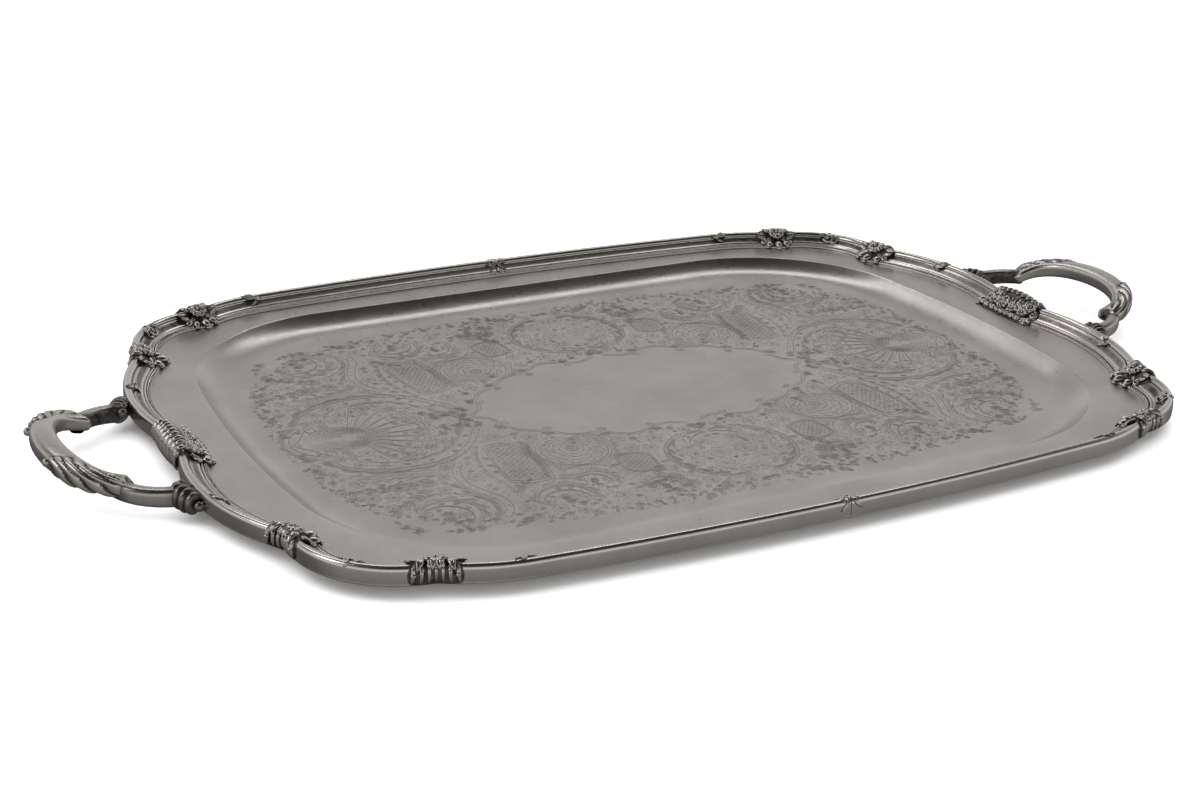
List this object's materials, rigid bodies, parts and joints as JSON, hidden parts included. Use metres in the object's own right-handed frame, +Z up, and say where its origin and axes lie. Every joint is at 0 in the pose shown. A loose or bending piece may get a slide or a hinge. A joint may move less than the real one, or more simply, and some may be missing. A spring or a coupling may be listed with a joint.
{
  "type": "two-handled serving tray",
  "caption": "Oblong silver-plated serving tray with a pressed, engraved well, a shaped border with cast ornament and a loop handle at each end.",
  "frame": {"origin": "under the middle of the tray, on the surface it stands on", "axes": "+X along the tray from the left handle to the right, +Y to the back long side, +Z up"},
  "size_m": [0.6568, 0.3978, 0.0287],
  "materials": {
    "satin_plate": "aged satin silver plate",
    "border_plate": "polished silver plate",
    "ornament_plate": "cast silver plate with dark recesses",
    "handle_plate": "polished silver plate, darkened in the hollows",
    "dark_plate": "oxidised silver plate"
  },
  "bodies": {
    "root": {"tray_body": "satin_plate", "border_front_left": "border_plate", "border_front_right": "border_plate", "border_back_left": "border_plate", "border_back_right": "border_plate", "clasp_front_left_side": "ornament_plate", "clasp_front_left_end": "ornament_plate", "clasp_front_right_side": "ornament_plate", "clasp_front_right_end": "ornament_plate", "clasp_back_left_side": "ornament_plate", "clasp_back_left_end": "ornament_plate", "clasp_back_right_side": "ornament_plate", "clasp_back_right_end": "ornament_plate", "end_mount_left": "ornament_plate", "end_mount_right": "ornament_plate", "joint_leaf_front": "ornament_plate", "joint_leaf_back": "ornament_plate", "side_sprig_front_left": "ornament_plate", "side_sprig_front_right": "ornament_plate", "side_sprig_back_left": "ornament_plate", "side_sprig_back_right": "ornament_plate", "corner_scroll_front_left": "ornament_plate", "corner_scroll_front_right": "ornament_plate", "corner_scroll_back_left": "ornament_plate", "corner_scroll_back_right": "ornament_plate", "end_sprig_front_left": "ornament_plate", "end_sprig_front_right": "ornament_plate", "end_sprig_back_left": "ornament_plate", "end_sprig_back_right": "ornament_plate", "handle_left": "handle_plate", "handle_right": "handle_plate", "handle_socket_front_left": "dark_plate", "handle_socket_front_right": "dark_plate", "handle_socket_back_left": "dark_plate", "handle_socket_back_right": "dark_plate"}
  },
  "joints": []
}
